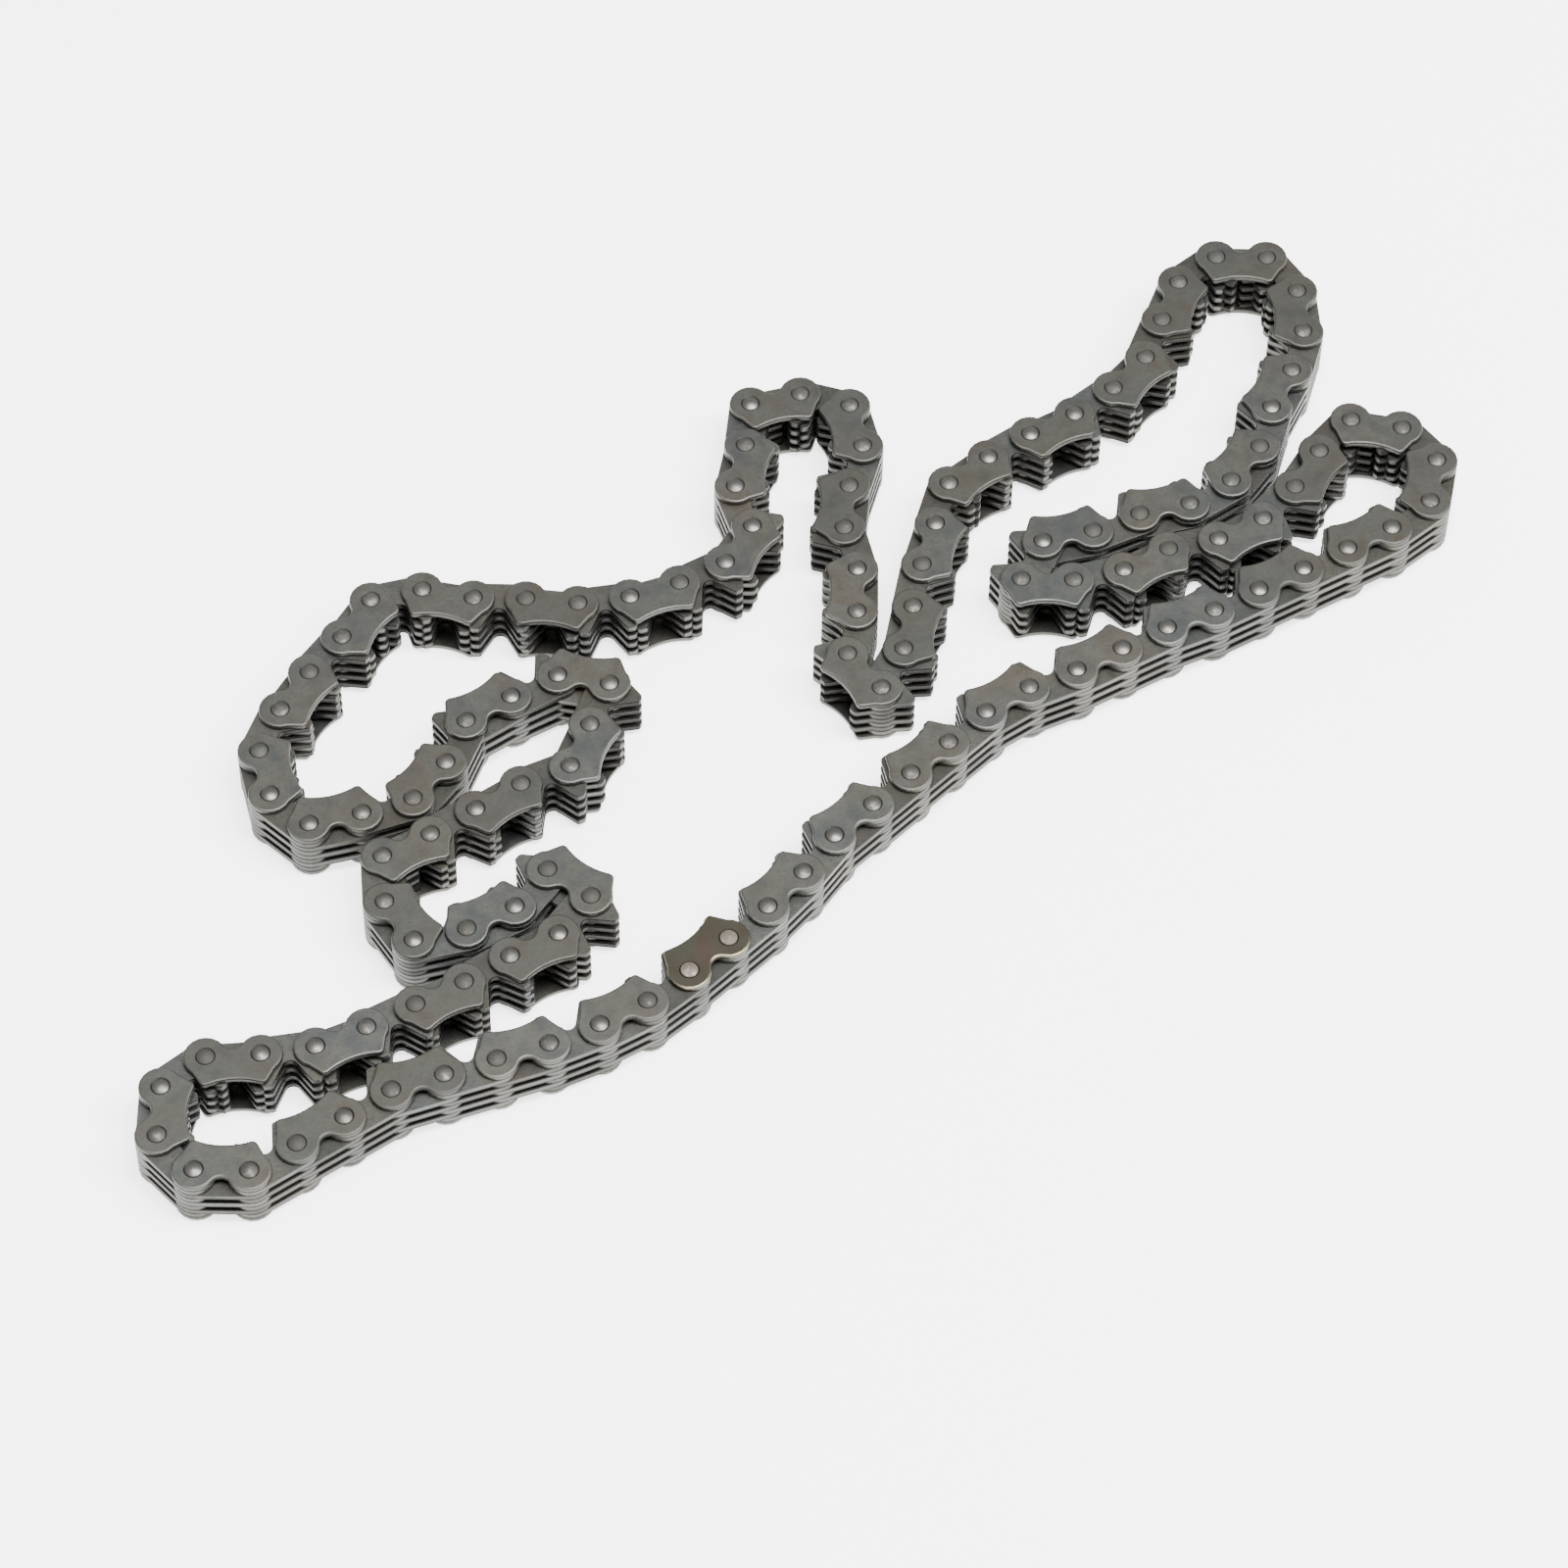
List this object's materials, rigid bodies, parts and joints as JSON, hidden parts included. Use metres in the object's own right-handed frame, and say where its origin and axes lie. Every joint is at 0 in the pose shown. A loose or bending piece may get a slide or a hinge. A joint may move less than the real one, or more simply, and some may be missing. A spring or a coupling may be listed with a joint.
{
  "type": "silent timing chain",
  "caption": "Silent inverted-tooth cam chain: laced toothed plates on pins between waisted guide plates, an endless loop laid on its side, with a bronze closing link.",
  "frame": {"origin": "centre of the heap's box, at the level of the pins' lower ends, on which the chain lies", "axes": "+Z along every pin, +X across the longest side of the heap, +Y away from the picture's viewer"},
  "size_m": [0.1558, 0.1394, 0.0079],
  "materials": {
    "steel": "satin, tumbled",
    "bronzed_steel": "satin, bronze-coloured",
    "bright_steel": "bright, riveted"
  },
  "bodies": {
    "span_001_to_004": {"closing_link_guide_plates": "bronzed_steel", "closing_link_inner_plates": "steel", "closing_link_pins": "bright_steel", "rows_002_to_004": "steel"},
    "span_005_to_008": {"rows_005_to_008": "steel"},
    "span_009_to_012": {"rows_009_to_012": "steel"},
    "span_013_to_018": {"rows_013_to_015": "steel", "rows_016_to_018": "steel"},
    "span_019_to_021": {"guide_row_019": "steel", "joint_row_020": "steel", "guide_row_021": "steel"},
    "span_022_to_025": {"rows_022_to_025": "steel"},
    "span_026_to_029": {"rows_026_to_029": "steel"},
    "span_030_to_034": {"joint_row_030": "steel", "rows_031_to_034": "steel"},
    "span_035_to_038": {"rows_035_to_038": "steel"},
    "span_039_to_044": {"guide_row_039": "steel", "joint_row_040": "steel", "guide_row_041": "steel", "joint_row_042": "steel", "rows_043_to_044": "steel"},
    "span_045_to_049": {"rows_045_to_046": "steel", "rows_047_to_049": "steel"},
    "span_050_to_054": {"rows_050_to_053": "steel", "joint_row_054": "steel"},
    "span_055_to_060": {"guide_row_055": "steel", "rows_056_to_058": "steel", "rows_059_to_060": "steel"},
    "span_061_to_063": {"guide_row_061": "steel", "joint_row_062": "steel", "guide_row_063": "steel"},
    "span_064_to_066": {"rows_064_to_066": "steel"},
    "span_067_to_070": {"guide_row_067": "steel", "rows_068_to_070": "steel"},
    "span_071_to_073": {"rows_071_to_073": "steel"},
    "span_074_to_079": {"joint_row_074": "steel", "rows_075_to_078": "steel", "guide_row_079": "steel"},
    "span_080_to_082": {"joint_row_080": "steel", "rows_081_to_082": "steel"},
    "span_083_to_086": {"rows_083_to_084": "steel", "rows_085_to_086": "steel"},
    "span_087_to_089": {"guide_row_087": "steel", "rows_088_to_089": "steel"},
    "span_090_to_095": {"rows_090_to_093": "steel", "joint_row_094": "steel", "guide_row_095": "steel"},
    "span_096_to_099": {"rows_096_to_098": "steel", "guide_row_099": "steel"},
    "span_100_to_104": {"joint_row_100": "steel", "rows_101_to_104": "steel"},
    "span_105_to_110": {"rows_105_to_107": "steel", "joint_row_108": "steel", "guide_row_109": "steel", "joint_row_110": "steel"},
    "span_111_to_114": {"guide_row_111": "steel", "rows_112_to_114": "steel"},
    "span_115_to_117": {"rows_115_to_117": "steel"},
    "span_118_to_120": {"rows_118_to_120": "steel"}
  },
  "joints": [
    {"name": "loop_opens_at_pin_055", "type": "hinge", "parent": "span_050_to_054", "child": "span_055_to_060", "pos_m": [0.00713, 0.00073, 0.00396], "axis": [0, 0, 1], "range_deg": [0, 70]},
    {"name": "hinge_at_pin_061", "type": "hinge", "parent": "span_055_to_060", "child": "span_061_to_063", "pos_m": [0.0047, 0.03679, 0.00396], "axis": [0, 0, 1], "range_deg": [-28.69, 0]},
    {"name": "hinge_at_pin_064", "type": "hinge", "parent": "span_061_to_063", "child": "span_064_to_066", "pos_m": [-0.00921, 0.04293, 0.00396], "axis": [0, 0, 1], "range_deg": [-16.22, 0]},
    {"name": "hinge_at_pin_067", "type": "hinge", "parent": "span_064_to_066", "child": "span_067_to_070", "pos_m": [-0.00869, 0.02438, 0.00396], "axis": [0, 0, 1], "range_deg": [0, 5.2]},
    {"name": "hinge_at_pin_071", "type": "hinge", "parent": "span_067_to_070", "child": "span_071_to_073", "pos_m": [-0.02959, 0.01243, 0.00396], "axis": [0, 0, 1], "range_deg": [0, 9.79]},
    {"name": "hinge_at_pin_074", "type": "hinge", "parent": "span_071_to_073", "child": "span_074_to_079", "pos_m": [-0.04852, 0.01409, 0.00396], "axis": [0, 0, 1], "range_deg": [0, 12.87]},
    {"name": "hinge_at_pin_080", "type": "hinge", "parent": "span_074_to_079", "child": "span_080_to_082", "pos_m": [-0.06517, -0.01586, 0.00396], "axis": [0, 0, 1], "range_deg": [-7.78, 0]},
    {"name": "hinge_at_pin_083", "type": "hinge", "parent": "span_080_to_082", "child": "span_083_to_086", "pos_m": [-0.0482, -0.01612, 0.00396], "axis": [0, 0, 1], "range_deg": [-15.18, 0]},
    {"name": "hinge_at_pin_087", "type": "hinge", "parent": "span_083_to_086", "child": "span_087_to_089", "pos_m": [-0.03169, 0.00186, 0.00396], "axis": [0, 0, 1], "range_deg": [0, 43.14]},
    {"name": "hinge_at_pin_090", "type": "hinge", "parent": "span_087_to_089", "child": "span_090_to_095", "pos_m": [-0.02978, -0.01117, 0.00396], "axis": [0, 0, 1], "range_deg": [-4, 0]},
    {"name": "hinge_at_pin_096", "type": "hinge", "parent": "span_090_to_095", "child": "span_096_to_099", "pos_m": [-0.04724, -0.03584, 0.00396], "axis": [0, 0, 1], "range_deg": [-58.78, 0]},
    {"name": "hinge_at_pin_100", "type": "hinge", "parent": "span_096_to_099", "child": "span_100_to_104", "pos_m": [-0.02677, -0.02947, 0.00396], "axis": [0, 0, 1], "range_deg": [0, 43.69]},
    {"name": "hinge_at_pin_105", "type": "hinge", "parent": "span_100_to_104", "child": "span_105_to_110", "pos_m": [-0.05211, -0.04783, 0.00396], "axis": [0, 0, 1], "range_deg": [-8.13, 0]},
    {"name": "hinge_at_pin_111", "type": "hinge", "parent": "span_105_to_110", "child": "span_111_to_114", "pos_m": [-0.07082, -0.0671, 0.00396], "axis": [0, 0, 1], "range_deg": [-43.74, 0]},
    {"name": "hinge_at_pin_115", "type": "hinge", "parent": "span_111_to_114", "child": "span_115_to_117", "pos_m": [-0.04886, -0.05617, 0.00396], "axis": [0, 0, 1], "range_deg": [0, 4.01]},
    {"name": "hinge_at_pin_118", "type": "hinge", "parent": "span_115_to_117", "child": "span_118_to_120", "pos_m": [-0.03096, -0.04965, 0.00396], "axis": [0, 0, 1], "range_deg": [-14.64, 0]},
    {"name": "hinge_at_pin_050", "type": "hinge", "parent": "span_050_to_054", "child": "span_045_to_049", "pos_m": [0.0153, 0.03126, 0.00396], "axis": [0, 0, 1], "range_deg": [0, 6.61]},
    {"name": "hinge_at_pin_045", "type": "hinge", "parent": "span_045_to_049", "child": "span_039_to_044", "pos_m": [0.03982, 0.05111, 0.00396], "axis": [0, 0, 1], "range_deg": [-8.21, 0]},
    {"name": "hinge_at_pin_039", "type": "hinge", "parent": "span_039_to_044", "child": "span_035_to_038", "pos_m": [0.05957, 0.0556, 0.00396], "axis": [0, 0, 1], "range_deg": [0, 37.72]},
    {"name": "hinge_at_pin_035", "type": "hinge", "parent": "span_035_to_038", "child": "span_030_to_034", "pos_m": [0.04996, 0.03237, 0.00396], "axis": [0, 0, 1], "range_deg": [0, 26.94]},
    {"name": "hinge_at_pin_030", "type": "hinge", "parent": "span_030_to_034", "child": "span_026_to_029", "pos_m": [0.02405, 0.017, 0.00396], "axis": [0, 0, 1], "range_deg": [-67.41, 0]},
    {"name": "hinge_at_pin_026", "type": "hinge", "parent": "span_026_to_029", "child": "span_022_to_025", "pos_m": [0.04817, 0.02347, 0.00396], "axis": [0, 0, 1], "range_deg": [-4.01, 0]},
    {"name": "hinge_at_pin_022", "type": "hinge", "parent": "span_022_to_025", "child": "span_019_to_021", "pos_m": [0.065, 0.04187, 0.00396], "axis": [0, 0, 1], "range_deg": [0, 15.23]},
    {"name": "hinge_at_pin_019", "type": "hinge", "parent": "span_019_to_021", "child": "span_013_to_018", "pos_m": [0.07424, 0.02965, 0.00396], "axis": [0, 0, 1], "range_deg": [0, 50.64]},
    {"name": "hinge_at_pin_013", "type": "hinge", "parent": "span_013_to_018", "child": "span_009_to_012", "pos_m": [0.04162, 0.01018, 0.00396], "axis": [0, 0, 1], "range_deg": [-13.79, 0]},
    {"name": "hinge_at_pin_009", "type": "hinge", "parent": "span_009_to_012", "child": "span_005_to_008", "pos_m": [0.01966, -0.00249, 0.00396], "axis": [0, 0, 1], "range_deg": [-37.39, 0]},
    {"name": "hinge_at_pin_005", "type": "hinge", "parent": "span_005_to_008", "child": "span_001_to_004", "pos_m": [0.0017, -0.02045, 0.00396], "axis": [0, 0, 1], "range_deg": [-17.01, 0]}
  ],
  "couplings": [
    {"joint": "hinge_at_pin_061", "follows": "loop_opens_at_pin_055", "ratio": -0.4097},
    {"joint": "hinge_at_pin_064", "follows": "loop_opens_at_pin_055", "ratio": -0.2316},
    {"joint": "hinge_at_pin_067", "follows": "loop_opens_at_pin_055", "ratio": 0.0741},
    {"joint": "hinge_at_pin_071", "follows": "loop_opens_at_pin_055", "ratio": 0.1397},
    {"joint": "hinge_at_pin_074", "follows": "loop_opens_at_pin_055", "ratio": 0.1837},
    {"joint": "hinge_at_pin_080", "follows": "loop_opens_at_pin_055", "ratio": -0.111},
    {"joint": "hinge_at_pin_083", "follows": "loop_opens_at_pin_055", "ratio": -0.2167},
    {"joint": "hinge_at_pin_087", "follows": "loop_opens_at_pin_055", "ratio": 0.6162},
    {"joint": "hinge_at_pin_090", "follows": "loop_opens_at_pin_055", "ratio": -0.057},
    {"joint": "hinge_at_pin_096", "follows": "loop_opens_at_pin_055", "ratio": -0.8396},
    {"joint": "hinge_at_pin_100", "follows": "loop_opens_at_pin_055", "ratio": 0.624},
    {"joint": "hinge_at_pin_105", "follows": "loop_opens_at_pin_055", "ratio": -0.116},
    {"joint": "hinge_at_pin_111", "follows": "loop_opens_at_pin_055", "ratio": -0.6247},
    {"joint": "hinge_at_pin_115", "follows": "loop_opens_at_pin_055", "ratio": 0.0571},
    {"joint": "hinge_at_pin_118", "follows": "loop_opens_at_pin_055", "ratio": -0.209},
    {"joint": "hinge_at_pin_050", "follows": "loop_opens_at_pin_055", "ratio": 0.0943},
    {"joint": "hinge_at_pin_045", "follows": "loop_opens_at_pin_055", "ratio": -0.1172},
    {"joint": "hinge_at_pin_039", "follows": "loop_opens_at_pin_055", "ratio": 0.5387},
    {"joint": "hinge_at_pin_035", "follows": "loop_opens_at_pin_055", "ratio": 0.3847},
    {"joint": "hinge_at_pin_030", "follows": "loop_opens_at_pin_055", "ratio": -0.9629},
    {"joint": "hinge_at_pin_026", "follows": "loop_opens_at_pin_055", "ratio": -0.0572},
    {"joint": "hinge_at_pin_022", "follows": "loop_opens_at_pin_055", "ratio": 0.2175},
    {"joint": "hinge_at_pin_019", "follows": "loop_opens_at_pin_055", "ratio": 0.7233},
    {"joint": "hinge_at_pin_013", "follows": "loop_opens_at_pin_055", "ratio": -0.1969},
    {"joint": "hinge_at_pin_009", "follows": "loop_opens_at_pin_055", "ratio": -0.534},
    {"joint": "hinge_at_pin_005", "follows": "loop_opens_at_pin_055", "ratio": -0.2428}
  ]
}
